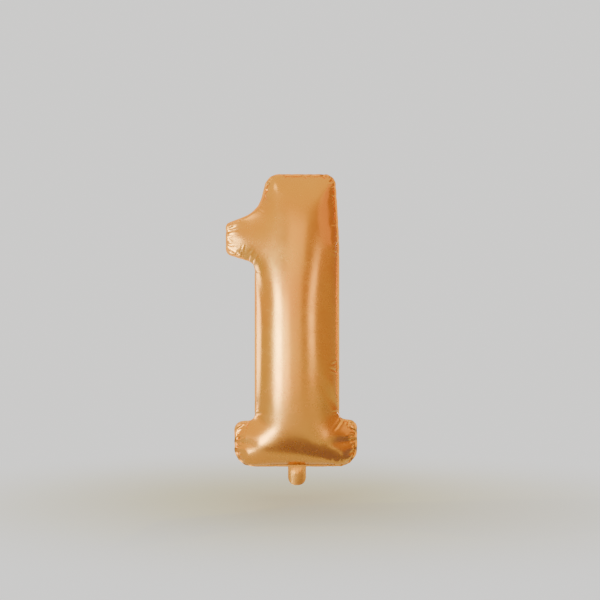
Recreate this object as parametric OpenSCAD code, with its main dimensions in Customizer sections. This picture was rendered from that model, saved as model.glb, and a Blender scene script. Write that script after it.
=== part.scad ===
// Foil number balloon, figure one, blown up: two film panels welded round their outline,
// a self-sealing valve between them at the foot, and a flexible filling tail below it.
// Frame: the front faces -Y, +Z is up, and the origin is on the foot's edge where the tail leaves it.

/* [Figure] */
// Height of the figure, without its tail
figure_h = 960; // [920:5:1000]
// Width of the upright stem
stem_w = 278; // [250:2:300]
// Thickness of the blown-up stem, front to back
depth = 194; // [150:2:240]
// Exponent of the bulge: low is full close to the seam, high is lean there
bulge = 0.56; // [0.5:0.02:0.7]

/* [Foot] */
// Reach of the foot to the left of the tail
foot_left = 206; // [190:2:220]
// Reach of the foot to the right of the tail
foot_right = 198; // [185:2:215]
// Height of the foot's left shoulder
foot_left_h = 148; // [135:1:160]
// Height of the foot's right shoulder
foot_right_h = 153; // [140:1:165]

/* [Flag] */
// Reach of the flag to the left of the tail
flag_reach = 234; // [215:1:250]
// Height of the flag's lower corner
flag_low = 697; // [685:1:710]
// Height of the flag's upper corner
flag_high = 797; // [785:1:810]

/* [Film and seam] */
// Width of the flat welded margin
margin_w = 7; // [5:0.5:9]
// Thickness of each film panel
film_t = 0.4; // [0.3:0.05:0.6]
// Thickness of the sealant that joins the two margins
sealant_t = 0.4; // [0.3:0.05:0.6]

/* [Valve] */
// Width of the valve's flat tube
valve_w = 40; // [30:2:46]
// Height that the valve reaches inside the figure
valve_h = 128; // [90:2:160]

/* [Tail] */
// Width of the filling tail
tail_w = 59; // [54:1:66]
// Distance from the foot's edge to the tail's tip
tail_h = 60; // [52:1:70]
// Radius of the tail's lower corners
tail_r = 25; // [16:1:26]
// Gap between the valve films in the tail's mouth
mouth_gap = 7; // [6:0.2:8]

/* [Hidden] */
$fn = 64;

foil_gold = [0.83, 0.55, 0.27];
foil_back = [0.80, 0.52, 0.25];
clear_film = [0.88, 0.91, 0.93];
sealant = [0.70, 0.48, 0.26];

// ---- the figure's outline, in X and Z ----

stem_x = stem_w / 2;
armpit_rise = 6;        // the foot's top slopes up by this much to the stem
armpit_r = 18;          // hollow where the foot's top meets the stem
shoulder_r = 30;
toe_r = 62;
flag_root = flag_low - 30;
flag_root_r = 30;       // hollow where the flag's underside meets the stem
flag_low_r = 24;
flag_tip_r = 15;
brow_x = 128;           // hollow where the flag's top meets the head
brow = flag_high + 41;
brow_r = 95;
crown_left = 97;        // reach of the head's top corners
crown_right = 126;
crown_left_r = 48;
crown_right_r = 36;
lean_start = 700;       // above this height the head's right side leans in

// A corner is [x, z, radius, steps in its arc, steps along the straight that leads to it].
foot_left_corners = [[-foot_left, 0, toe_r, 4, 1],
                     [-foot_left, foot_left_h, shoulder_r, 3, 3],
                     [-stem_x, foot_left_h + armpit_rise, armpit_r, 3, 1]];
foot_right_corners = [[foot_right, 0, toe_r, 4, 1],
                      [foot_right, foot_right_h, shoulder_r, 3, 3],
                      [stem_x, foot_right_h + armpit_rise, armpit_r, 3, 1]];
flag_corners = [[-stem_x, flag_root, flag_root_r, 3, 13],
                [-flag_reach, flag_low, flag_low_r, 3, 4],
                [-flag_reach, flag_high, flag_tip_r, 3, 3],
                [-brow_x, brow, brow_r, 3, 3]];
crown_left_corner = [-crown_left, figure_h, crown_left_r, 4, 2];
crown_right_corner = [crown_right, figure_h, crown_right_r, 4, 2];
left_corners = concat(foot_left_corners, flag_corners, [crown_left_corner]);

// Position of the figure's right side at a height, above the foot.
function right_x(z) =
    let (rise = max(0, z - lean_start) / (figure_h - lean_start))
    stem_x - (stem_x - crown_right) * pow(rise, 1.5);

function unit(v) = v / norm(v);
function place(corner) = [corner[0], corner[1]];
function mix(a, b, t) = a + (b - a) * t;
function flat(lists) = [for (list = lists) each list];

// Rounds the corner c between its neighbours a and b. The arc keeps its centre when the outline
// moves in by inset; way is -1 up the figure's left side and 1 up its right side.
function arc(a, c, b, inset, way) =
    let (to_a = unit(place(a) - place(c)),
         to_b = unit(place(b) - place(c)),
         half = acos(to_a * to_b) / 2,
         centre = place(c) + unit(to_a + to_b) * c[2] / sin(half),
         first = place(c) + to_a * c[2] / tan(half) - centre,
         last = place(c) + to_b * c[2] / tan(half) - centre,
         angle = atan2(first[1], first[0]),
         sweep = (atan2(last[1], last[0]) - angle + 540) % 360 - 180,
         r = c[2] - sign(sweep) * way * inset)
    [for (k = [0:c[3]]) centre + r * [cos(angle + sweep * k / c[3]), sin(angle + sweep * k / c[3])]];

// Points up one side: every corner's arc, and steps along the straight that leads to it.
function side(before, corners, after, inset, way) =
    let (n = len(corners),
         arcs = [for (i = [0:n - 1])
                 arc(i == 0 ? before : corners[i - 1], corners[i],
                     i == n - 1 ? after : corners[i + 1], inset, way)])
    flat([for (i = [0:n - 1])
          concat(i == 0 ? [] : straight(arcs[i - 1], arcs[i], corners[i][4]), arcs[i])]);
function straight(from, to, steps) = [for (k = [1:1:steps - 1]) mix(from[len(from) - 1], to[0], k / steps)];

middle = [0, figure_h];
function left_side(inset) = side([0, 0], left_corners, middle, inset, -1);

// The right side has as many points as the left: its own corners in the foot and the crown,
// and between them a point level with each point of the left side.
function right_side(inset) =
    let (left = left_side(inset),
         stem_foot = [stem_x, lean_start],
         neck = [right_x(figure_h - 80), figure_h - 80],
         foot = side([0, 0], foot_right_corners, stem_foot, inset, 1),
         crown = side(neck, [crown_right_corner], middle, inset, 1),
         n = len(left))
    concat(foot, [for (i = [len(foot):n - len(crown) - 1]) [right_x(left[i][1]) - inset, left[i][1]]], crown);

// ---- a sheet as rows of points, from the figure's foot to its crown ----

cols = 18;
function spread(j) = (1 - cos(180 * j / cols)) / 2;   // columns crowd towards both sides

function rows(left, right) =
    [for (i = [0:len(left) - 1]) [for (j = [0:cols]) mix(left[i], right[i], spread(j))]];

// The border of a grid, counterclockwise from its lower left, as positions in the grid's list.
function border(last_row, last_col) =
    let (w = last_col + 1)
    concat([for (j = [0:last_col]) j],
           [for (i = [1:last_row]) i * w + last_col],
           [for (j = [last_col - 1:-1:0]) last_row * w + j],
           [for (i = [last_row - 1:-1:1]) i * w]);

// Triangles of a grid whose points start at a place in the list; they face the front.
function grid_faces(start, last_row, last_col) =
    let (w = last_col + 1)
    flat([for (i = [0:last_row - 1], j = [0:last_col - 1])
          let (a = start + i * w + j)
          [[a, a + w, a + w + 1], [a, a + w + 1, a + 1]]]);
function flipped(faces) = [for (f = faces) [f[2], f[1], f[0]]];

// Triangles between two loops of the same length.
function band_faces(inner, outer) =
    let (n = len(inner))
    flat([for (k = [0:n - 1])
          let (m = (k + 1) % n)
          [[inner[k], inner[m], outer[m]], [inner[k], outer[m], outer[k]]]]);

// ---- how far the film bulges ----

// The harmonic mean of the distance from p to the outline, over all directions; each edge of
// the outline takes its share. Half-way across a long strip it is half the strip's width.
function reach(p, outline) =
    let (n = len(outline),
         shares = [for (k = [0:n - 1])
                   let (a = outline[k], b = outline[(k + 1) % n],
                        along = unit(b - a),
                        off = cross(along, p - a))
                   abs(off) < 0.001 ? 0 : (along * unit(b - p) - along * unit(a - p)) / off],
         total = shares * [for (s = shares) 1])
    total < 0.001 ? 0 : 4 / total;

// The outline as one counterclockwise loop.
function loop(left, right) = concat(right, [for (i = [len(left) - 1:-1:0]) left[i]]);

// One skin of a panel: its points stand off the seam by lift where they meet the weld.
function skin(inset, lift) =
    let (left = left_side(inset),
         right = right_side(inset),
         outline = loop(left, right),
         grid = rows(left, right),
         last = len(left) - 1)
    flat([for (i = [0:last])
          [for (j = [0:cols])
           let (p = grid[i][j],
                edge = i == 0 || i == last || j == 0 || j == cols,
                h = edge ? 0 : depth / 2 * pow(min(reach(p, outline) / stem_x, 1.4), bulge))
           [p[0], -lift - h, p[1]]]]);

// The cut edge, with a point for each point of a skin's border.
function cut_edge(lift) =
    let (left = left_side(0),
         right = right_side(0),
         grid = flat(rows(left, right)))
    [for (k = border(len(left) - 1, cols)) [grid[k][0], -lift, grid[k][1]]];

// ---- nodes: the panels and the weld ----

module panel() {
    base = sealant_t / 2;
    outer = skin(margin_w, base + film_t);
    inner = skin(margin_w + film_t, base);
    outer_cut = cut_edge(base + film_t);
    inner_cut = cut_edge(base);
    last = len(left_side(0)) - 1;
    n = len(outer);
    m = len(outer_cut);
    outer_rim = border(last, cols);
    inner_rim = [for (k = outer_rim) k + n];
    outer_edge = [for (k = [0:m - 1]) 2 * n + k];
    inner_edge = [for (k = [0:m - 1]) 2 * n + m + k];
    polyhedron(points = concat(outer, inner, outer_cut, inner_cut),
               faces = concat(grid_faces(0, last, cols),
                              flipped(grid_faces(n, last, cols)),
                              band_faces(outer_rim, outer_edge),
                              band_faces(outer_edge, inner_edge),
                              band_faces(inner_edge, inner_rim)));
}

module front_panel() {
    color(foil_gold) panel();
}

module back_panel() {
    color(foil_back) mirror([0, 1, 0]) panel();
}

// Lays a shape drawn in X and Z flat, this thick, with its middle on the seam plane.
module on_seam(thick) {
    translate([0, thick / 2, 0]) rotate([90, 0, 0]) linear_extrude(thick) children();
}

module perimeter_weld() {
    color(sealant) on_seam(sealant_t) difference() {
        polygon(loop(left_side(0), right_side(0)));
        polygon(loop(left_side(margin_w), right_side(margin_w)));
        translate([-valve_w / 2, -1]) square([valve_w, margin_w + 2]);
    }
}

// ---- nodes: the valve inside the figure ----

ply_t = sealant_t / 2;

module valve_film() {
    translate([-valve_w / 2, 0, 0]) cube([valve_w, ply_t, valve_h]);
}

module valve_front_film() {
    color(clear_film) mirror([0, 1, 0]) valve_film();
}

module valve_back_film() {
    color(clear_film) valve_film();
}

// ---- nodes: the tail, which folds on a line just below the foot's edge ----

stack_r = ply_t + film_t;       // half the thickness of the flat tail
fold_clearance = 0.05;
fold_z = -stack_r - fold_clearance;
tail_x = tail_w / 2;
valve_x = valve_w / 2;
tail_rows = 12;
mouth_cols = 10;
open_from = 3;                  // the tail starts to open this far below the foot's edge
open_by = 22;                   // and is fully open here

// Height of the tail's lower edge: straight in the middle, with a round corner on each side.
function tail_end(x) =
    let (over = max(0, abs(x) - (tail_x - tail_r)))
    -tail_h + tail_r - sqrt(tail_r * tail_r - over * over);

// Half the gap in the tail, zero at its welds and at its root.
function half_gap(x, z) =
    let (t = max(0, min(1, (-z - open_from) / (open_by - open_from))))
    abs(x) >= valve_x ? 0 : mouth_gap / 2 * cos(90 * x / valve_x) * t * t * (3 - 2 * t);

mouth_xs = [for (j = [0:mouth_cols]) mix(-valve_x, valve_x, j / mouth_cols)];
weld_xs = [for (k = [1:3]) mix(valve_x, tail_x, k / 3)];
tail_xs = concat([for (k = [2:-1:0]) -weld_xs[k]], mouth_xs, weld_xs);

// A sheet in the tail's front half, between two distances from the gap's middle.
module tail_sheet(xs, near, far) {
    last_col = len(xs) - 1;
    n = (tail_rows + 1) * len(xs);
    function layer(lift) =
        [for (i = [tail_rows:-1:0], x = xs)
         let (z = mix(fold_z, tail_end(x), i / tail_rows))
         [x, -lift - half_gap(x, z), z]];
    rim = border(tail_rows, last_col);
    polyhedron(points = concat(layer(far), layer(near)),
               faces = concat(grid_faces(0, tail_rows, last_col),
                              flipped(grid_faces(n, tail_rows, last_col)),
                              band_faces(rim, [for (k = rim) k + n])));
}

// The film's round fold: a quarter of a tube on the fold line.
module fold_bead() {
    translate([-tail_x, 0, fold_z]) rotate([90, 0, 90]) intersection() {
        difference() {
            cylinder(r = stack_r, h = tail_w);
            translate([0, 0, -1]) cylinder(r = ply_t, h = tail_w + 2);
        }
        translate([-1, 0, 0]) cube([1, 1, tail_w]);
    }
}

module tail_film() {
    tail_sheet(tail_xs, ply_t, stack_r);
    fold_bead();
}

module tail_front_film() {
    color(foil_gold) tail_film();
}

module tail_back_film() {
    color(foil_back) mirror([0, 1, 0]) tail_film();
}

module tail_side_welds() {
    corner_x = tail_x - tail_r;
    corner_z = -tail_h + tail_r;
    color(sealant) on_seam(sealant_t) difference() {
        union() {
            translate([-tail_x, corner_z]) square([tail_w, fold_z - corner_z]);
            translate([-corner_x, -tail_h]) square([2 * corner_x, tail_r + 1]);
            for (x = [-corner_x, corner_x]) translate([x, corner_z]) circle(r = tail_r);
        }
        translate([-valve_x, -tail_h - 1]) square([valve_w, tail_h + 1]);
    }
}

module valve_front_inlet() {
    color(clear_film) tail_sheet(mouth_xs, 0, ply_t);
}

module valve_back_inlet() {
    color(clear_film) mirror([0, 1, 0]) tail_sheet(mouth_xs, 0, ply_t);
}

front_panel();
back_panel();
perimeter_weld();
valve_front_film();
valve_back_film();
tail_front_film();
tail_back_film();
tail_side_welds();
valve_front_inlet();
valve_back_inlet();
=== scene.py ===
"""Foil number balloon, figure one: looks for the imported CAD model.

Two sheets of metallised film are cut wider than the blown-up figure and joined at their edge. A
cloth simulation blows them up while the seam is drawn in to the figure's outline, so the film
bulges and puckers as it does on a real balloon. The flat margin, the tail and the valve's inlet
are built onto the result. The balloon's lengths are in millimetres, which MM turns into metres;
the floor, the cards and the lights are placed in metres.
"""
import math

import bmesh
import bpy
import numpy as np
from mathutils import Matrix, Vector
from mathutils.geometry import delaunay_2d_cdt


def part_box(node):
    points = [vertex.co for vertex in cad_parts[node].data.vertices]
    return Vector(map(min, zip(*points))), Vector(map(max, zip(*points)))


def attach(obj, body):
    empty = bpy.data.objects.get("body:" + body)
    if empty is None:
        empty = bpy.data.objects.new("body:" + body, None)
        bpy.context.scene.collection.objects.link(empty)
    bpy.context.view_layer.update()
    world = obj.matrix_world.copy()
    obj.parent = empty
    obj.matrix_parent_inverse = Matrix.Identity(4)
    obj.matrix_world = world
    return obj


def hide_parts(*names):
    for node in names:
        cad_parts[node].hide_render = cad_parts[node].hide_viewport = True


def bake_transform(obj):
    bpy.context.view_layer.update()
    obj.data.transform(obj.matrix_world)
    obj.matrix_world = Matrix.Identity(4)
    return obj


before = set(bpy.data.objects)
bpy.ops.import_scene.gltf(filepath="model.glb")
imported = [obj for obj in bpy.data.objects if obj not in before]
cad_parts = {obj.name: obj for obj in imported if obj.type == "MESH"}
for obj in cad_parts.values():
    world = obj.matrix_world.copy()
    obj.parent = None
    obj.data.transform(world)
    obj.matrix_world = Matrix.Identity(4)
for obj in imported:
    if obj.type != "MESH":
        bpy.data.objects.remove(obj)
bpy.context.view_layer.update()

MM = 0.001
FIGURE_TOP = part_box("front_panel")[1][2] / MM
TAIL_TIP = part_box("tail_front_film")[0][2] / MM
TAIL_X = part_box("tail_front_film")[1][0] / MM
VALVE_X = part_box("valve_front_inlet")[1][0] / MM

# ---------------------------------------------------------------- outlines

# Corners of the figure's cut edge, clockwise from the foot's lower left: x, z, radius.
CUT_EDGE = [
    (-206, 0, 62), (-206, 148, 30), (-139, 154, 18), (-139, 667, 30), (-234, 697, 24),
    (-234, 797, 15), (-128, 838, 95), (-97, FIGURE_TOP, 48), (126, FIGURE_TOP, 36),
    (139, 740, 600), (139, 159, 18), (198, 153, 30), (198, 0, 62),
]
# The same corners on the flat sheets, before they are blown up.
FLAT_SHEET = [
    (-217, -26, 74), (-217, 154, 27), (-176, 165, 16), (-176, 657, 30), (-237, 695, 22),
    (-237, 797, 13), (-152, 843, 110), (-108, 975, 50), (133, 972, 43),
    (177, 745, 215), (176, 170, 16), (209, 159, 26), (209, -26, 74),
]
MARGIN = 7.0            # width of the flat welded margin
FILM_GAP = 0.32         # from the seam's middle to each sheet's outer face

# Tucks in the seam, where the film is gathered: x, z and how far the crease runs in, from the front.
TUCKS = [
    (-16, 960, 16), (26, 960, 18), (59, 960, 15), (88, 960, 22), (110, 956, 30), (122, 940, 34),
    (128, 915, 28), (129, 886, 20), (-95, 940, 20), (-138, 864, 30), (-186, 816, 14),
    (-234, 768, 24), (-234, 728, 18), (-205, 688, 26), (-181, 680, 34), (-163, 672, 38),
    (-149, 660, 38), (-141, 642, 28), (137, 789, 26), (138, 743, 30), (139, 698, 28),
    (139, 556, 12), (139, 340, 26), (139, 312, 32), (139, 236, 14), (-139, 430, 10),
    (-139, 214, 14), (-143, 172, 34), (-158, 156, 30), (-206, 94, 24), (-206, 68, 28),
    (-196, 34, 26), (-178, 16, 34), (-160, 6, 32), (-142, 2, 24), (-72, 0, 12), (3, 0, 24),
    (39, 0, 26), (100, 0, 28), (112, 0, 34), (124, 0, 36), (137, 0, 34), (151, 3, 32),
    (166, 9, 28), (182, 22, 22), (198, 104, 26), (198, 118, 16), (186, 146, 20), (173, 152, 22),
    (160, 156, 16), (146, 166, 44), (141, 180, 30),
]


def round_corner(before, corner, after, inset):
    """Centre, first angle, sweep and radius of a corner's arc, moved in by inset."""
    at = np.array(corner[:2], float)
    to_before = np.array(before[:2]) - at
    to_after = np.array(after[:2]) - at
    to_before /= np.linalg.norm(to_before)
    to_after /= np.linalg.norm(to_after)
    half = math.acos(to_before @ to_after) / 2
    bisector = (to_before + to_after) / np.linalg.norm(to_before + to_after)
    centre = at + bisector * corner[2] / math.sin(half)
    first = at + to_before * corner[2] / math.tan(half) - centre
    last = at + to_after * corner[2] / math.tan(half) - centre
    angle = math.atan2(first[1], first[0])
    sweep = (math.atan2(last[1], last[0]) - angle + math.pi) % (2 * math.pi) - math.pi
    return centre, angle, sweep, corner[2] + math.copysign(inset, sweep)


def on_arc(arc, t):
    centre, angle, sweep, radius = arc
    return centre + radius * np.array([math.cos(angle + sweep * t), math.sin(angle + sweep * t)])


def outline(corners, inset=0.0, steps=None, spacing=None):
    """Points round an outline, and the steps in each straight and arc, which others can share."""
    count = len(corners)
    arcs = [round_corner(corners[i - 1], corners[i], corners[(i + 1) % count], inset)
            for i in range(count)]
    if steps is None:
        straights = [np.linalg.norm(on_arc(arcs[i], 0) - on_arc(arcs[i - 1], 1)) for i in range(count)]
        bends = [abs(sweep) * radius for _, _, sweep, radius in arcs]
        steps = [(max(1, round(straight / spacing)), max(2, round(bend / spacing)))
                 for straight, bend in zip(straights, bends)]
    points = []
    for i, (straight, curved) in enumerate(steps):
        start, end = on_arc(arcs[i - 1], 1), on_arc(arcs[i], 0)
        points += [start + (end - start) * k / straight for k in range(1, straight)]
        points += [on_arc(arcs[i], k / curved) for k in range(curved + 1)]
    return np.array(points), steps


def outward(points):
    """Unit normals of a clockwise loop."""
    along = np.roll(points, -1, 0) - np.roll(points, 1, 0)
    along /= np.linalg.norm(along, axis=1)[:, None]
    return np.c_[-along[:, 1], along[:, 0]]


def smooth_loop(values, width):
    """Moving average round a closed loop."""
    kernel = np.ones(width) / width
    padded = np.r_[values[-width:], values, values[:width]]
    return np.convolve(padded, kernel, "same")[width:-width]


def inside(points, loop):
    hit = np.zeros(len(points), bool)
    for a, b in zip(loop, np.roll(loop, -1, 0)):
        crosses = (a[1] > points[:, 1]) != (b[1] > points[:, 1])
        if a[1] != b[1]:
            at = (b[0] - a[0]) * (points[:, 1] - a[1]) / (b[1] - a[1]) + a[0]
            hit ^= crosses & (points[:, 0] < at)
    return hit


def distance_to(points, loop):
    best = np.full(len(points), np.inf)
    for a, b in zip(loop, np.roll(loop, -1, 0)):
        along = b - a
        t = np.clip((points - a) @ along / max(along @ along, 1e-9), 0, 1)
        best = np.minimum(best, np.linalg.norm(points - a - t[:, None] * along, axis=1))
    return best


# ---------------------------------------------------------------- the film, cut, seamed and blown up

FINE = 4.85       # spacing of the film's points near the seam; twice that inside
EDGE_BAND = 20.0     # how far in from the edge the points are as close
SCATTER = 0.07                      # how far a point strays from the lattice, in spacings
EDGE_CLEAR = 0.6                    # no point inside is nearer to the edge than this, in spacings
SHEETS_APART = 3.0                  # half of the gap between the flat sheets
FRAMES = 34        # length of the simulation
DRAWN_IN = 20      # the seam reaches its outline at this frame
SEED = 5
rng = np.random.default_rng(SEED)

# Gathers: waves in the seam, bigger where there is more film to spare.
GATHER = 30.0                       # length of film that one gather takes
SPARE_OVER = 26.0                   # the spare film is averaged over this length
MOST_SPARE = 0.3                    # as a share of the seam's own length
GATHER_ACROSS, GATHER_IN = 0.22, 0.2    # how much of a wave goes out of the seam's plane, and inwards
PLAIN_NECK = 30.0                   # the gathers die out over this distance from the tail

# Tucks: single folds that pull the seam in and across. The three values are the pull, the length of
# crease that adds 1 mm to it, and how far along the seam it reaches.
TUCK_IN, TUCK_IN_RUN, TUCK_IN_WIDTH = 0.4, 40, 5.0
TUCK_ACROSS, TUCK_ACROSS_RUN, TUCK_ACROSS_WIDTH = 0.2, 120, 7.0
TUCK_LEAN = 0.2                     # creases lean to one side or the other by up to this much
TUCK_BAND = 8.0                     # the points are as close on both sides of a tuck's crease
TUCK_RUN = 1.8                      # how much longer a crease is on the film than from the front

# Easing starts this far in from the film's edge and is complete after so much more.
EASED_FROM, EASED_OVER = 2.0, 24.0
SHRINK, GROW = 0.5, -0.53           # steps towards the neighbours' middle and away from it

flat_edge, edge_steps = outline(FLAT_SHEET, spacing=FINE)
weld_line, _ = outline(CUT_EDGE, MARGIN, edge_steps)
cut_line, _ = outline(CUT_EDGE, 0.0, edge_steps)
edge_count = len(flat_edge)
edge_normal = outward(weld_line)
edge_length = np.linalg.norm(np.roll(weld_line, -1, 0) - weld_line, axis=1)
edge_at = np.cumsum(edge_length) - edge_length
from_neck = np.hypot(weld_line[:, 0], weld_line[:, 1] - MARGIN)


def seam_gathers():
    """How far the seam moves out of its plane and inwards where the film is gathered or tucked."""
    flat_length = np.linalg.norm(np.roll(flat_edge, -1, 0) - flat_edge, axis=1)
    spare = smooth_loop(flat_length / edge_length - 1, max(3, round(SPARE_OVER / FINE)))
    spare = np.clip(spare, 0, MOST_SPARE)
    total = edge_length.sum()
    waves = round(total / GATHER)
    ends = np.cumsum(rng.uniform(0.7, 1.3, waves))
    phase = 2 * math.pi * np.interp(edge_at / total, np.r_[0, ends / ends[-1]], np.arange(waves + 1))
    size = rng.uniform(0.3, 1.1, waves)[(phase / (2 * math.pi)).astype(int) % waves]
    size = smooth_loop(size * GATHER * np.sqrt(spare) / math.pi, 3)
    beside_neck = np.clip((from_neck - TAIL_X) / PLAIN_NECK, 0, 1)
    size *= beside_neck
    across = GATHER_ACROSS * size * np.sin(phase)
    inward = GATHER_IN * size * (0.5 + 0.5 * np.cos(phase))
    for number, (x, z, length) in enumerate(TUCKS):
        near = np.linalg.norm(weld_line - (x, z), axis=1).argmin()
        away = np.abs(edge_at - edge_at[near])
        away = np.minimum(away, total - away)
        dip = np.exp(-(away / TUCK_IN_WIDTH) ** 2)
        inward += (TUCK_IN + length / TUCK_IN_RUN) * dip
        lift = np.exp(-(away / TUCK_ACROSS_WIDTH) ** 2)
        to_side = 1.0 if number % 2 else -1.0
        across += to_side * (TUCK_ACROSS + length / TUCK_ACROSS_RUN) * lift
    across *= beside_neck
    return across, inward


def tuck_creases():
    """Each tuck's crease on the flat sheets: its start, its unit direction and its length."""
    inwards = -outward(flat_edge)
    creases = []
    for number, (x, z, length) in enumerate(TUCKS):
        near = np.linalg.norm(weld_line - (x, z), axis=1).argmin()
        lean = TUCK_LEAN * math.sin(2.4 * number)
        along = inwards[near] + lean * np.array([-inwards[near][1], inwards[near][0]])
        creases.append((flat_edge[near], along / np.linalg.norm(along), length * TUCK_RUN))
    return creases


def along_crease(points, crease):
    """How far points on the flat sheets are along a crease and to its side."""
    start, direction, _ = crease
    offset = points - start
    return offset @ direction, np.abs(offset @ np.array([-direction[1], direction[0]]))


def film_points():
    """Points inside the flat sheet: a triangular lattice, close near the edge, twice as wide inside."""
    low, high = flat_edge.min(0), flat_edge.max(0)
    row_step = FINE * math.sqrt(3) / 2
    rows = np.arange(int((high[1] - low[1]) / row_step) + 1)
    columns = np.arange(int((high[0] - low[0]) / FINE) + 1)
    row, column = (grid.ravel() for grid in np.meshgrid(rows, columns, indexing="ij"))
    points = np.c_[low[0] + (column + 0.5 * (row % 2)) * FINE, low[1] + row * row_step]
    points += rng.normal(0, FINE * SCATTER, points.shape)
    coarse = (row % 2 == 0) & ((column + row // 2) % 2 == 0)
    kept = inside(points, flat_edge)
    points, coarse = points[kept], coarse[kept]
    depth = distance_to(points, flat_edge)
    close = (depth < EDGE_BAND) | coarse
    for crease in creases:
        run, aside = along_crease(points, crease)
        close |= (run > 0) & (run < crease[2]) & (aside < TUCK_BAND)
    return points[(depth > EDGE_CLEAR * FINE) & close]


def pillow():
    """The two flat sheets joined at their edge: points in metres, front triangles, back triangles."""
    loop = [(k, (k + 1) % edge_count) for k in range(edge_count)]
    points = np.vstack([flat_edge, film_points()])
    points = [Vector(p) for p in points]
    points, _, faces = delaunay_2d_cdt(points, loop, [range(edge_count)], 1, 1e-5)[:3]
    points = np.array([tuple(p) for p in points])
    faces = np.array([tuple(f) for f in faces])
    a, b, c = (points[faces[:, k]] for k in range(3))
    turned = np.cross(b - a, c - a) < 0
    faces[turned] = faces[turned][:, ::-1]
    inner = len(points) - edge_count
    in_front = np.r_[np.zeros(edge_count), np.full(inner, -SHEETS_APART)]
    front = np.c_[points[:, 0], in_front, points[:, 1]]
    back = np.c_[points[edge_count:, 0], np.full(inner, SHEETS_APART), points[edge_count:, 1]]
    to_back = np.r_[np.arange(edge_count), len(points) + np.arange(inner)]
    return np.vstack([front, back]) * MM, faces, to_back[faces][:, ::-1]


def blow_up(points, faces, seam):
    """Inflates the pillow while its seam is drawn in, and returns where its points end."""
    mesh = bpy.data.meshes.new("inflating")
    mesh.from_pydata(points.tolist(), [], faces.tolist())
    piece = bpy.data.objects.new("inflating", mesh)
    scene = bpy.context.scene
    scene.collection.objects.link(piece)
    piece.vertex_groups.new(name="seam").add(list(range(edge_count)), 1.0, "REPLACE")
    piece.shape_key_add(name="flat")
    drawn = piece.shape_key_add(name="drawn_in")
    for k, at in enumerate(seam):
        drawn.data[k].co = at
    drawn.value = 0
    drawn.keyframe_insert("value", frame=1)
    drawn.value = 1
    drawn.keyframe_insert("value", frame=DRAWN_IN)
    cloth = piece.modifiers.new("film", "CLOTH")
    film = cloth.settings
    film.quality = 5
    film.mass = 0.3
    film.tension_stiffness = 80
    film.compression_stiffness = 10
    film.shear_stiffness = 40
    film.bending_stiffness = 0.5
    film.tension_damping = film.compression_damping = film.shear_damping = 5
    film.bending_damping = 0.5
    film.use_pressure = True
    film.uniform_pressure_force = 600
    film.vertex_group_mass = "seam"
    film.effector_weights.gravity = 0
    cloth.collision_settings.use_collision = False
    cloth.point_cache.frame_start = 1
    cloth.point_cache.frame_end = FRAMES
    for number in range(1, FRAMES + 1):
        scene.frame_set(number)
    settled = piece.evaluated_get(bpy.context.evaluated_depsgraph_get()).data
    ends = np.empty(len(points) * 3, np.float32)
    settled.vertices.foreach_get("co", ends)
    bpy.data.objects.remove(piece)
    bpy.data.meshes.remove(mesh)
    scene.frame_set(1)
    return ends.reshape(-1, 3).astype(float)


def ease(points, faces, depth, rounds=24):
    """Evens out shallow creases away from the seam; it shrinks and grows in turn to keep the volume."""
    ends = np.vstack([faces[:, [0, 1]], faces[:, [1, 2]], faces[:, [2, 0]]])
    ends = np.vstack([ends, ends[:, ::-1]])
    neighbours = np.bincount(ends[:, 0], minlength=len(points))[:, None]
    share = np.clip((depth - EASED_FROM) / EASED_OVER, 0, 1)[:, None]
    for step in (SHRINK, GROW) * rounds:
        sums = [np.bincount(ends[:, 0], points[ends[:, 1], k], len(points)) for k in range(3)]
        points = points + step * share * (np.stack(sums, 1) / neighbours - points)
    return points


# The seam ends up on the weld line, apart from what its gathers and tucks take up.
across, inward = seam_gathers()
creases = tuck_creases()
drawn_line = weld_line - edge_normal * inward[:, None]
seam = np.c_[drawn_line[:, 0], across, drawn_line[:, 1]] * MM
flat_points, front_faces, back_faces = pillow()
all_faces = np.vstack([front_faces, back_faces])
film_at = blow_up(flat_points, all_faces, seam)
film_at = ease(film_at, all_faces, distance_to(flat_points[:, [0, 2]] / MM, flat_edge))


# ---------------------------------------------------------------- pieces from the film

FILM_T = 0.1                        # drawn thickness of a sheet
WELD_T = 0.42                       # and of the sealant between the sheets
NECK_LIFT = 0.14                    # each sheet stands this much further out over the tail's root
LIFT_BEYOND, LIFT_FADE = 12.0, 10.0     # which ends this far beyond the tail, fading over so much
SEAM_CREASE = 0.75                  # how crisp subdivision leaves the seam
SHARP_FROM = math.radians(42)       # faces that meet at more than this are shaded with a sharp edge

# The grooves pressed in along the tucks: their size, and what they gain for each mm of crease.
GROOVE_WIDTH, GROOVE_WIDENS = 1.9, 0.02
GROOVE_DEPTH, GROOVE_DEEPENS = 0.75, 0.028
GROOVE_START = 3.0                  # a groove reaches its depth this far in from the seam
# The ridges beside a groove: height, distance and width, as shares of the groove's depth and width.
RIDGE, RIDGE_AT, RIDGE_WIDTH = 0.35, 2.1, 1.1


def new_piece(name, points, faces, smooth=True):
    """A mesh object from points in metres."""
    mesh = bpy.data.meshes.new(name)
    mesh.from_pydata([tuple(p) for p in points], [], [tuple(int(k) for k in f) for f in faces])
    mesh.update()
    mesh.polygons.foreach_set("use_smooth", [smooth] * len(mesh.polygons))
    piece = bpy.data.objects.new(name, mesh)
    bpy.context.scene.collection.objects.link(piece)
    return piece


def apply_modifiers(piece):
    """Puts the modifiers' result into the piece's own mesh."""
    graph = bpy.context.evaluated_depsgraph_get()
    mesh = bpy.data.meshes.new_from_object(piece.evaluated_get(graph))
    piece.modifiers.clear()
    old = piece.data
    piece.data = mesh
    bpy.data.meshes.remove(old)


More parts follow.
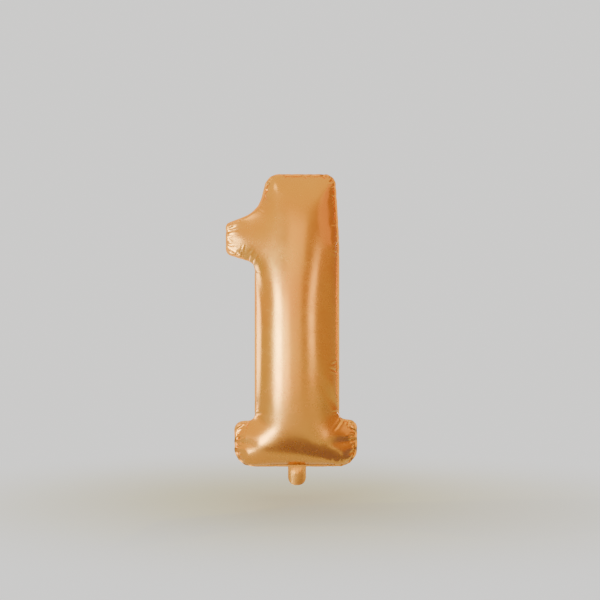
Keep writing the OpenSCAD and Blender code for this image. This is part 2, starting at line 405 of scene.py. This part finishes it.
def crease_edges(mesh, chosen, sharpness):
    """Marks the edges between neighbouring chosen points, so that subdivision keeps them crisp."""
    marks = mesh.attributes.new("crease_edge", "FLOAT", "EDGE")
    ends = np.empty(len(mesh.edges) * 2, np.int32)
    mesh.edges.foreach_get("vertices", ends)
    both = np.isin(ends, list(chosen)).reshape(-1, 2).all(1)
    marks.data.foreach_set("value", np.where(both, sharpness, 0.0).astype(np.float32))


def note_points(mesh, notes):
    """Notes two numbers at each point, which subdivision carries along."""
    kept = mesh.attributes.new("notes", "FLOAT_VECTOR", "POINT")
    kept.data.foreach_set("vector", np.c_[notes, np.zeros(len(notes))].ravel().astype(np.float32))


def numbers(data, name, width):
    """One named value of every item, as an array."""
    values = np.empty(len(data) * width, np.float32)
    data.foreach_get(name, values)
    return values.reshape(-1, width).astype(float)


def take_notes(mesh):
    """The two numbers noted at each point, which are then cleared away."""
    notes = numbers(mesh.attributes["notes"].data, "vector", 3)[:, :2]
    mesh.attributes.remove(mesh.attributes["notes"])
    return notes


def press_tucks(piece):
    """Presses a sharp crease into the film along each tuck, with a slight ridge on both its sides."""
    mesh = piece.data
    flat = take_notes(mesh)
    depth = np.zeros(len(flat))
    for crease in creases:
        run, aside = along_crease(flat, crease)
        reach = crease[2]
        width = GROOVE_WIDTH + GROOVE_WIDENS * reach
        window = np.clip(run / GROOVE_START, 0, 1) * np.clip(1 - run / reach, 0, 1)
        ridges = RIDGE * np.exp(-((aside / width - RIDGE_AT) / RIDGE_WIDTH) ** 2)
        groove = np.exp(-(aside / width) ** 2) - ridges
        depth += (GROOVE_DEPTH + GROOVE_DEEPENS * reach) * window * groove
    pressed = numbers(mesh.vertices, "normal", 3) * depth[:, None] * MM
    points = numbers(mesh.vertices, "co", 3) - pressed
    mesh.vertices.foreach_set("co", points.ravel().astype(np.float32))
    mesh.update()


# The margin follows the seam out to the cut edge, and flares a little more out of its plane.
MARGIN_ROWS = (0.18, 1.0)
MARGIN_FLARE = 0.25


def margin_row(part):
    """Points round the margin, part of the way from the weld to the cut edge."""
    line = drawn_line + (cut_line - weld_line) * part
    return np.c_[line[:, 0], across * (1 + MARGIN_FLARE * part), line[:, 1]]


def sheet_stand():
    """How far a sheet stands from the seam's middle, at each point round the seam."""
    return FILM_GAP + NECK_LIFT * np.clip((TAIL_X + LIFT_BEYOND - from_neck) / LIFT_FADE, 0, 1)


# ---- the tail

TAIL_R = 25.0           # radius of its lower corners
MOUTH_HALF = 3.5        # half of the gap between the valve films in its mouth
OPEN_FROM, OPEN_BY = 3.0, 22.0      # the gap widens between these distances below the neck
ROOT = 2.0              # the tail's film starts this far up between the margins
PLEAT = 0.10            # depth of its pleats
ROOT_PLEAT, PLEAT_FADE = 0.25, 16.0     # what they gain at the neck, and how fast that dies out below
PLEAT_EDGE, PLEAT_EDGE_FADE = 3.0, 8.0  # they end this far beyond the valve's edge, fading over so much
PLEAT_START = 4.0       # and grow over this length below the neck
INLET_T = 0.12          # from the gap to a valve film's outer face; the film fills half of it
SEAL_INSET = 0.2        # the side welds stay this far off the tail's edges and the valve films


def tail_end(x):
    over = np.maximum(0, np.abs(x) - (TAIL_X - TAIL_R))
    return TAIL_TIP + TAIL_R - np.sqrt(TAIL_R ** 2 - over ** 2)


def tail_gap(x, z):
    """Half of the gap in the tail, zero at its welds and at its root."""
    t = np.clip((-z - OPEN_FROM) / (OPEN_BY - OPEN_FROM), 0, 1)
    lens = np.where(np.abs(x) < VALVE_X, np.cos(np.pi / 2 * np.clip(np.abs(x) / VALVE_X, 0, 1)), 0)
    return MOUTH_HALF * lens * t * t * (3 - 2 * t)


def tail_pleats(x, z, side):
    """Soft lengthwise pleats, which always stand outwards: two waves of unlike width."""
    fade = np.clip((VALVE_X + PLEAT_EDGE - np.abs(x)) / PLEAT_EDGE_FADE, 0, 1)
    fade = fade * np.clip(-z / PLEAT_START, 0, 1)
    waves = np.sin(x * 0.62 + 0.6 * side) + 0.6 * np.sin(x * 1.13 + 1.7 - 0.02 * z)
    gathered = PLEAT + ROOT_PLEAT * np.exp(z / PLEAT_FADE)
    return gathered * fade * (waves + 1.6) / 2


def tail_grid(x_from, x_to, z_top, z_lift, lift, side, columns, rows, pleated=True):
    """Points of a sheet in the tail, row by row from its root, at a distance from the gap's middle."""
    x = np.linspace(x_from, x_to, columns + 1)
    t = np.linspace(0, 1, rows + 1)[:, None]
    z = z_top + (tail_end(x)[None] + z_lift - z_top) * t
    x = np.broadcast_to(x, z.shape)
    stand = lift + tail_gap(x, z) + (tail_pleats(x, z, side) if pleated else 0)
    return np.stack([x, side * stand, z], -1).reshape(-1, 3) * MM


def grid_quads(columns, rows, side, start=0):
    quads = []
    for i in range(rows):
        for j in range(columns):
            a = start + i * (columns + 1) + j
            b = a + columns + 1
            quads.append((a, b, b + 1, a + 1) if side < 0 else (a, a + 1, b + 1, b))
    return quads


def ring_quads(inner, outer, side):
    """Faces between two rings of points round the seam, which start at these indices."""
    quads = []
    for k in range(edge_count):
        m = (k + 1) % edge_count
        quad = (inner + k, inner + m, outer + m, outer + k)
        quads.append(quad if side < 0 else quad[::-1])
    return quads


OFF_THE_SHEET = 9999.0      # a place that no crease reaches


def sheet_surface(name, side):
    """The blown-up panel, its margin and the tail as one surface; each point notes its flat place."""
    columns, rows = 22, 16
    faces = front_faces if side < 0 else back_faces
    chosen, faces = np.unique(faces, return_inverse=True)
    faces = faces.reshape(-1, 3)
    body = film_at[chosen].copy()
    stand = side * sheet_stand() * MM
    body[:edge_count, 1] += stand
    points, quads = [body], [tuple(f) for f in faces]
    ring_start = 0
    for part in MARGIN_ROWS:
        row = margin_row(part) * MM
        row[:, 1] += stand
        next_start = sum(len(p) for p in points)
        points.append(row)
        quads += ring_quads(ring_start, next_start, side)
        ring_start = next_start
    tail_start = sum(len(p) for p in points)
    points.append(tail_grid(-TAIL_X, TAIL_X, ROOT, 0, FILM_GAP, side, columns, rows))
    quads += grid_quads(columns, rows, side, tail_start)
    piece = new_piece(name, np.vstack(points), quads)
    flat = flat_points[chosen][:, [0, 2]] / MM
    beyond = np.full((tail_start - len(chosen) + len(points[-1]), 2), OFF_THE_SHEET)
    note_points(piece.data, np.vstack([flat, beyond]))
    crease_edges(piece.data, range(edge_count), SEAM_CREASE)
    return piece


def build_sheet(name, side):
    """One whole sheet of film, with its tucks and its thickness. side is -1 in front."""
    piece = sheet_surface(name, side)
    piece.modifiers.new("finer", "SUBSURF").levels = 1
    apply_modifiers(piece)
    press_tucks(piece)
    thick = piece.modifiers.new("film", "SOLIDIFY")
    thick.thickness = FILM_T * MM
    thick.offset = -1
    apply_modifiers(piece)
    piece.data.set_sharp_from_angle(angle=SHARP_FROM)
    return piece


front_sheet = build_sheet("front_sheet", -1)
back_sheet = build_sheet("back_sheet", 1)


def build_perimeter_seal():
    """The sealant between the two margins.

    The strip beside the blown-up film and the stretch at the valve are cut out after subdivision.
    """
    rows = [margin_row(part) * MM for part in (0.0, *MARGIN_ROWS)]
    quads = ring_quads(0, edge_count, -1) + ring_quads(edge_count, 2 * edge_count, -1)
    piece = new_piece("perimeter_seal", np.vstack(rows), quads)
    row_number = np.repeat(np.arange(len(rows)), edge_count)
    at_valve = (cut_line[:, 1] < 1) & (np.abs(cut_line[:, 0]) < VALVE_X + 2)
    note_points(piece.data, np.c_[row_number, np.tile(at_valve, len(rows))])
    piece.modifiers.new("finer", "SUBSURF").levels = 1
    apply_modifiers(piece)
    notes = take_notes(piece.data)
    shape = bmesh.new()
    shape.from_mesh(piece.data)
    shape.verts.ensure_lookup_table()
    first_strip, near_valve = notes[:, 0] < 0.9, notes[:, 1] > 0.2
    extra = [v for v in shape.verts if first_strip[v.index] or near_valve[v.index]]
    bmesh.ops.delete(shape, geom=extra, context="VERTS")
    shape.to_mesh(piece.data)
    shape.free()
    thick = piece.modifiers.new("sealant", "SOLIDIFY")
    thick.thickness = WELD_T * MM
    thick.offset = 0
    apply_modifiers(piece)
    return piece


perimeter_seal = build_perimeter_seal()


def build_tail_film(name, x_from, x_to, z_top, z_lift, lift, thickness, side, columns):
    """A closed thin sheet in the tail, from z_top down to z_lift above the tail's end."""
    rows = 22
    points = tail_grid(x_from, x_to, z_top, z_lift, lift, side, columns, rows, pleated=False)
    piece = new_piece(name, points, grid_quads(columns, rows, side))
    piece.modifiers.new("finer", "SUBSURF").levels = 1
    thick = piece.modifiers.new("film", "SOLIDIFY")
    thick.thickness = thickness * MM
    thick.offset = -1
    apply_modifiers(piece)
    return piece


def build_valve_inlet(name, side):
    """A valve film in the tail."""
    return build_tail_film(name, -VALVE_X, VALVE_X, z_top=1.0, z_lift=0.5, lift=INLET_T,
                           thickness=INLET_T / 2, side=side, columns=18)


def build_tail_seal(name, x_from, x_to):
    """The weld along one side of the tail."""
    return build_tail_film(name, x_from + SEAL_INSET, x_to - SEAL_INSET, z_top=-0.6, z_lift=0.3,
                           lift=WELD_T / 2, thickness=WELD_T, side=-1, columns=6)


valve_inlets = [build_valve_inlet("valve_inlet_front", -1), build_valve_inlet("valve_inlet_back", 1)]
tail_seals = [build_tail_seal("tail_seal_left", -TAIL_X, -VALVE_X),
              build_tail_seal("tail_seal_right", VALVE_X, TAIL_X)]


# ---------------------------------------------------------------- materials

def node_material(name):
    material = bpy.data.materials.new(name)
    material.use_nodes = True
    tree = material.node_tree
    return material, tree, tree.nodes["Principled BSDF"]


def link(tree, source, output, target, socket):
    tree.links.new(source.outputs[output], target.inputs[socket])


def noise(tree, place, scale, detail, roughness=0.5):
    node = tree.nodes.new("ShaderNodeTexNoise")
    node.inputs["Scale"].default_value = scale
    node.inputs["Detail"].default_value = detail
    node.inputs["Roughness"].default_value = roughness
    link(tree, place, "Object", node, "Vector")
    return node


def ramp(tree, source, stops, output="Fac"):
    """A colour ramp from (position, colour) stops."""
    node = tree.nodes.new("ShaderNodeValToRGB")
    marks = node.color_ramp.elements
    marks[0].position, marks[0].color = stops[0]
    marks[1].position, marks[1].color = stops[-1]
    for position, colour in stops[1:-1]:
        marks.new(position).color = colour
    link(tree, source, output, node, "Fac")
    return node


def uneven_gloss(tree, shader, haze, haze_low, haze_high, smoothest, roughest):
    """Lets a texture move the roughness between two values."""
    gloss = tree.nodes.new("ShaderNodeMapRange")
    gloss.inputs["From Min"].default_value = haze_low
    gloss.inputs["From Max"].default_value = haze_high
    gloss.inputs["To Min"].default_value = smoothest
    gloss.inputs["To Max"].default_value = roughest
    link(tree, haze, "Fac", gloss, "Value")
    link(tree, gloss, "Result", shader, "Roughness")


def bumped(tree, shader, layers):
    """Chains bumps from (texture, strength, depth in metres) onto the shader's normal."""
    last = None
    for texture, strength, depth in layers:
        bump = tree.nodes.new("ShaderNodeBump")
        bump.inputs["Strength"].default_value = strength
        bump.inputs["Distance"].default_value = depth
        link(tree, texture, "Fac", bump, "Height")
        if last:
            link(tree, last, "Normal", bump, "Normal")
        last = bump
    link(tree, last, "Normal", shader, "Normal")


def foil(name, light, deep, roughness):
    """Satin metallised film: its colour and gloss drift, and it has a slow ripple and a fine crinkle."""
    material, tree, shader = node_material(name)
    shader.inputs["Metallic"].default_value = 1.0
    shader.inputs["Coat Weight"].default_value = 0.22
    shader.inputs["Coat Roughness"].default_value = 0.28
    shader.inputs["Coat IOR"].default_value = 1.7
    place = tree.nodes.new("ShaderNodeTexCoord")
    drift = noise(tree, place, 5.0, 2)
    colours = ramp(tree, drift, [(0.35, (*deep, 1)), (0.65, (*light, 1))])
    link(tree, colours, "Color", shader, "Base Color")
    haze = noise(tree, place, 22.0, 4, 0.6)
    uneven_gloss(tree, shader, haze, 0.3, 0.7, roughness - 0.03, roughness + 0.04)
    ripple = noise(tree, place, 9.0, 1)
    crinkle = noise(tree, place, 70.0, 3, 0.55)
    bumped(tree, shader, [(ripple, 0.25, 0.003), (crinkle, 0.10, 0.0008)])
    return material


def clear_plastic(name, tint, roughness):
    """Thin clear plastic film, slightly milky."""
    material, tree, shader = node_material(name)
    shader.inputs["Base Color"].default_value = (*tint, 1)
    shader.inputs["Transmission Weight"].default_value = 0.85
    shader.inputs["IOR"].default_value = 1.5
    place = tree.nodes.new("ShaderNodeTexCoord")
    haze = noise(tree, place, 60.0, 3)
    uneven_gloss(tree, shader, haze, 0.0, 1.0, roughness - 0.06, roughness + 0.06)
    bumped(tree, shader, [(haze, 0.2, 0.0003)])
    return material


FOIL_LIGHT, FOIL_DEEP = (0.93, 0.46, 0.085), (0.91, 0.39, 0.065)
front_foil = foil("satin_gold_foil", FOIL_LIGHT, FOIL_DEEP, 0.26)
back_foil = foil("satin_gold_foil_back", FOIL_LIGHT, FOIL_DEEP, 0.27)
sealant = clear_plastic("sealant", (0.75, 0.52, 0.30), 0.35)
valve_film = clear_plastic("valve_film", (0.90, 0.93, 0.95), 0.22)


def finish_piece(piece, material):
    """Gives a piece its one material."""
    piece.data.materials.clear()
    piece.data.materials.append(material)


for piece, material, slot, nodes in (
        (front_sheet, front_foil, "gold_foil", ("front_panel", "tail_front_film")),
        (back_sheet, back_foil, "gold_foil_back", ("back_panel", "tail_back_film")),
        (valve_inlets[0], valve_film, "clear_film", ("valve_front_inlet",)),
        (valve_inlets[1], valve_film, "clear_film", ("valve_back_inlet",))):
    finish_piece(piece, material)
    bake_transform(piece)
    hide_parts(*nodes)

for seal in tail_seals:
    finish_piece(seal, sealant)
    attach(seal, "tail")
    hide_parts("tail_side_welds")

finish_piece(perimeter_seal, sealant)
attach(perimeter_seal, "balloon")
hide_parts("perimeter_weld")

for name in ("valve_front_film", "valve_back_film"):
    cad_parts[name].data.materials.clear()
    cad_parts[name].data.materials.append(valve_film)

# ---------------------------------------------------------------- floor, light and camera

FLOOR_Z = TAIL_TIP * MM - 0.05
BACKDROP, BACKDROP_STRENGTH = (0.80, 0.79, 0.77, 1), 1.5
FLOOR_SIZE = 14.0                   # half of its width
FLOOR_COLOUR = (0.60, 0.69, 0.98, 1)    # it leans to blue, against the warm lights
FADE_FROM, FADE_TO = 0.1, 1.6       # the camera sees the floor fade into the backdrop this far out

ROOM_WALL = (0.55, 0.27, 0.14, 1)
ROOM_CEILING = (1.18, 0.92, 0.30, 1)
ROOM_TILT = math.radians(15)        # the room is brighter towards the upper left
CEILING_FROM, CEILING_FULL = 0.04, 0.42

# Dusky cards, corner by corner: one lies on the floor in front of the foot and to its right, one to
# its left, and one stands low on its right. Left and right are as the camera sees them.
FOOT_CARD = [(-0.10, -0.20), (0.06, -0.09), (1.10, 0.08), (1.10, -0.45), (0.60, -0.80), (0.20, -0.52),
             (-0.10, -0.54)]
LEFT_CARD = [(-0.10, -0.20), (-0.10, -0.54), (-0.50, -0.95), (-0.42, -0.45)]
STANDING_CARD = [(0.72, -0.42), (0.95, -0.02)]
CARD_TOP = 0.08
CARD_COLOUR = (0.20, 0.18, 0.60, 1)

# Soft lights: name, azimuth, distance, height, width, tall, watts and colour.
# Azimuth 0 is in front of the figure, and 90 is on the left as the camera sees it.
LIGHTS = [
    ("key", 41, 2.4, 0.32, 0.70, 0.85, 28.0, (0.88, 0.96, 1.0)),
    ("key_spill", 22, 2.4, 0.30, 0.55, 0.75, 4.6, (1.0, 0.90, 0.58)),
    ("front_fill", 3, 3.2, 0.80, 1.8, 2.2, 11.0, (1.0, 0.84, 0.38)),
    ("right_strip", -39, 2.4, 0.50, 0.6, 0.6, 3.3, (1.0, 0.84, 0.56)),
    ("right_glow", -70, 2.0, 1.35, 1.8, 1.1, 3.0, (1.0, 0.62, 0.32)),
    ("upper_left", 60, 1.5, 2.4, 0.9, 0.7, 4.0, (1.0, 0.94, 0.76)),
    ("left_rim", 128, 2.2, 0.40, 1.5, 0.6, 10.5, (1.0, 0.92, 0.72)),
    ("right_rim", -158, 2.4, 0.5, 0.8, 1.4, 14.0, (1.0, 1.0, 1.0)),
]


VIEW_WIDTH = 1968.0                 # how much of the seam's plane the square frame takes in
VIEW_X, VIEW_Z = 9.8, 546.8         # where the camera looks, from the neck
LENS, SENSOR = 85.0, 36.0


def pale_floor():
    """A plain pale surface, which the camera sees fade into the backdrop."""
    material, tree, shader = node_material("pale_floor")
    shader.inputs["Base Color"].default_value = FLOOR_COLOUR
    shader.inputs["Roughness"].default_value = 0.7
    place = tree.nodes.new("ShaderNodeTexCoord")
    away = tree.nodes.new("ShaderNodeVectorMath")
    away.operation = "LENGTH"
    link(tree, place, "Object", away, 0)
    fade = tree.nodes.new("ShaderNodeMapRange")
    fade.interpolation_type = "SMOOTHSTEP"
    fade.inputs["From Min"].default_value = FADE_FROM
    fade.inputs["From Max"].default_value = FADE_TO
    link(tree, away, "Value", fade, "Value")
    seen = tree.nodes.new("ShaderNodeLightPath")
    faded = tree.nodes.new("ShaderNodeMath")
    faded.operation = "MULTIPLY"
    link(tree, fade, "Result", faded, 0)
    link(tree, seen, "Is Camera Ray", faded, 1)
    distant = tree.nodes.new("ShaderNodeEmission")
    distant.inputs["Color"].default_value = BACKDROP
    distant.inputs["Strength"].default_value = BACKDROP_STRENGTH
    mix = tree.nodes.new("ShaderNodeMixShader")
    link(tree, faded, "Value", mix, 0)
    tree.links.new(shader.outputs[0], mix.inputs[1])
    tree.links.new(distant.outputs[0], mix.inputs[2])
    tree.links.new(mix.outputs[0], tree.nodes["Material Output"].inputs["Surface"])
    return material


def floor_plane():
    corners = [(-1, -1), (1, -1), (1, 1), (-1, 1)]
    corners = [(x * FLOOR_SIZE, y * FLOOR_SIZE, FLOOR_Z) for x, y in corners]
    floor = new_piece("floor", corners, [(0, 1, 2, 3)], smooth=False)
    floor.data.materials.append(pale_floor())


def softbox(name, azimuth, distance, height, width, tall, power, colour):
    """A rectangular light that faces the figure's middle line."""
    turn = math.radians(azimuth)
    lamp = bpy.data.lights.new(name, "AREA")
    lamp.shape = "RECTANGLE"
    lamp.size, lamp.size_y = width, tall
    lamp.energy = power
    lamp.color = colour
    holder = bpy.data.objects.new(name, lamp)
    holder.location = (-distance * math.sin(turn), -distance * math.cos(turn), height)
    holder.rotation_euler = (-holder.location).xy.to_3d().to_track_quat("-Z", "Y").to_euler()
    holder.visible_camera = False
    bpy.context.scene.collection.objects.link(holder)


def studio_air():
    """Dim warm surroundings with a brighter ceiling for the reflections, and a plain pale backdrop."""
    world = bpy.data.worlds.new("studio")
    bpy.context.scene.world = world
    world.use_nodes = True
    tree = world.node_tree
    room = tree.nodes["Background"]
    backdrop = tree.nodes.new("ShaderNodeBackground")
    backdrop.inputs["Color"].default_value = BACKDROP
    backdrop.inputs["Strength"].default_value = BACKDROP_STRENGTH
    direction = tree.nodes.new("ShaderNodeTexCoord")
    tilt = tree.nodes.new("ShaderNodeMapping")
    tilt.inputs["Rotation"].default_value = (0, ROOM_TILT, 0)
    link(tree, direction, "Generated", tilt, "Vector")
    height = tree.nodes.new("ShaderNodeSeparateXYZ")
    link(tree, tilt, "Vector", height, "Vector")
    stops = [(0.0, ROOM_WALL), (CEILING_FROM, ROOM_WALL), (CEILING_FULL, ROOM_CEILING),
             (1.0, ROOM_CEILING)]
    shades = ramp(tree, height, stops, "Z")
    link(tree, shades, "Color", room, "Color")
    seen = tree.nodes.new("ShaderNodeLightPath")
    mix = tree.nodes.new("ShaderNodeMixShader")
    link(tree, seen, "Is Camera Ray", mix, 0)
    tree.links.new(room.outputs[0], mix.inputs[1])
    tree.links.new(backdrop.outputs[0], mix.inputs[2])
    tree.links.new(mix.outputs[0], tree.nodes["World Output"].inputs["Surface"])


def flag_cards():
    """Dusky cards that only the foil's reflections see, for the dark band across the foot."""
    low = FLOOR_Z + 0.002
    outlines = [[(x, y, low) for x, y in card] for card in (FOOT_CARD, LEFT_CARD, STANDING_CARD)]
    outlines[-1] += [(x, y, CARD_TOP) for x, y in STANDING_CARD[::-1]]
    corners, faces = [], []
    for card in outlines:
        faces.append(range(len(corners), len(corners) + len(card)))
        corners += card
    cards = new_piece("flag_cards", corners, faces, smooth=False)
    material, tree, shader = node_material("dusky_card")
    shader.inputs["Base Color"].default_value = CARD_COLOUR
    shader.inputs["Roughness"].default_value = 0.9
    cards.data.materials.append(material)
    cards.visible_camera = False
    cards.visible_diffuse = False
    cards.visible_shadow = False


def studio():
    studio_air()
    flag_cards()
    for light in LIGHTS:
        softbox(*light)


def straight_camera():
    """Looks straight at the front, from as far off as its lens needs to take in VIEW_WIDTH."""
    camera = bpy.data.cameras.new("front_view")
    camera.lens, camera.sensor_width = LENS, SENSOR
    holder = bpy.data.objects.new("front_view", camera)
    holder.location = (VIEW_X * MM, -VIEW_WIDTH * MM * LENS / SENSOR, VIEW_Z * MM)
    holder.rotation_euler = (math.pi / 2, 0, 0)
    bpy.context.scene.collection.objects.link(holder)
    bpy.context.scene.camera = holder


floor_plane()
studio()
straight_camera()
